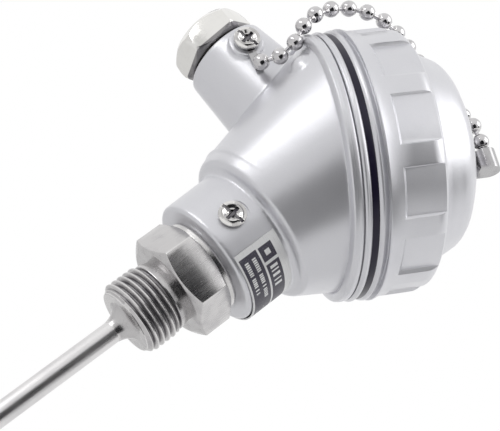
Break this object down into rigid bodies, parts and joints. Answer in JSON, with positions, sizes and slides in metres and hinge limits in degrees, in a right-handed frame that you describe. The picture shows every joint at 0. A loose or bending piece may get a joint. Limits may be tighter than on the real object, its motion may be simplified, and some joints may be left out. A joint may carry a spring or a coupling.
{
  "type": "thermocouple probe",
  "caption": "Sheathed thermocouple with a threaded pipe fitting, a cast connection head, a tilted screw cap held by a bead chain, and a cable gland.",
  "frame": {"origin": "centre of the hexagon's sealing face, on the probe's axis", "axes": "+Z along the probe towards the head, the tip at -Z; the cable entry looks along -X; the cap leans from +Z towards +X"},
  "size_m": [0.0989, 0.0752, 0.2702],
  "materials": {
    "sheath_steel": "drawn stainless tube with fine lengthwise lines",
    "oxide_powder": "compacted mineral oxide powder",
    "thermo_wire": "dull nickel alloy wire",
    "seal_resin": "cast potting resin",
    "sleeve_glass": "woven glass sleeving",
    "fitting_steel": "turned stainless steel with tool marks",
    "head_paint": "die-cast aluminium with satin silver-grey paint",
    "screw_nickel": "nickel-plated screw",
    "block_ceramic": "glazed steatite",
    "terminal_brass": "machined brass",
    "gasket_rubber": "smooth black sealing ring with a soft sheen",
    "seal_rubber": "black grommet rubber",
    "washer_steel": "stamped washer",
    "gland_chrome": "polished nickel plating",
    "chain_nickel": "nickel-plated bead chain",
    "label_foil": "silver foil label with dark grey fields"
  },
  "bodies": {
    "head": {"sheath_tube": "sheath_steel", "insulation_core": "oxide_powder", "thermoelement_positive": "thermo_wire", "thermoelement_negative": "thermo_wire", "hot_junction": "thermo_wire", "end_seal": "seal_resin", "wire_sleeves": "sleeve_glass", "process_fitting": "fitting_steel", "head_body": "head_paint", "neck_set_screw": "screw_nickel", "terminal_block": "block_ceramic", "terminal_positive": "terminal_brass", "terminal_negative": "terminal_brass", "terminal_screws": "screw_nickel", "block_screws": "screw_nickel", "cap_gasket": "gasket_rubber", "gland_seal": "seal_rubber", "entry_chain_screw": "screw_nickel", "chain_eyelet": "chain_nickel", "chain_beads": "chain_nickel", "chain_links": "chain_nickel", "rating_label": "label_foil"},
    "chain_swivel": {"chain_clip": "chain_nickel"},
    "cap": {"cap": "head_paint", "cap_chain_screw": "screw_nickel"},
    "gland_washer": {"gland_washer": "washer_steel"},
    "gland_screw": {"gland_screw": "gland_chrome"}
  },
  "joints": [
    {"name": "cap_travel", "type": "slide", "parent": "head", "child": "chain_swivel", "axis": [0.5, 0, 0.866], "range_m": [0, 0.009], "deforming": ["chain_beads", "chain_links"]},
    {"name": "cap_turn", "type": "hinge", "parent": "chain_swivel", "child": "cap", "pos_m": [0, 0, 0.0615], "axis": [0.5, 0, 0.866], "range_deg": [0, 1080]},
    {"name": "gland_travel", "type": "slide", "parent": "head", "child": "gland_washer", "axis": [-1, 0, 0], "range_m": [0, 0.003]},
    {"name": "gland_turn", "type": "hinge", "parent": "gland_washer", "child": "gland_screw", "pos_m": [-0.05, 0, 0.0615], "axis": [-1, 0, 0], "range_deg": [0, 720]}
  ],
  "couplings": [
    {"joint": "cap_travel", "follows": "cap_turn", "m_per_rad": 0.00047746},
    {"joint": "gland_travel", "follows": "gland_turn", "m_per_rad": 0.00023873}
  ]
}
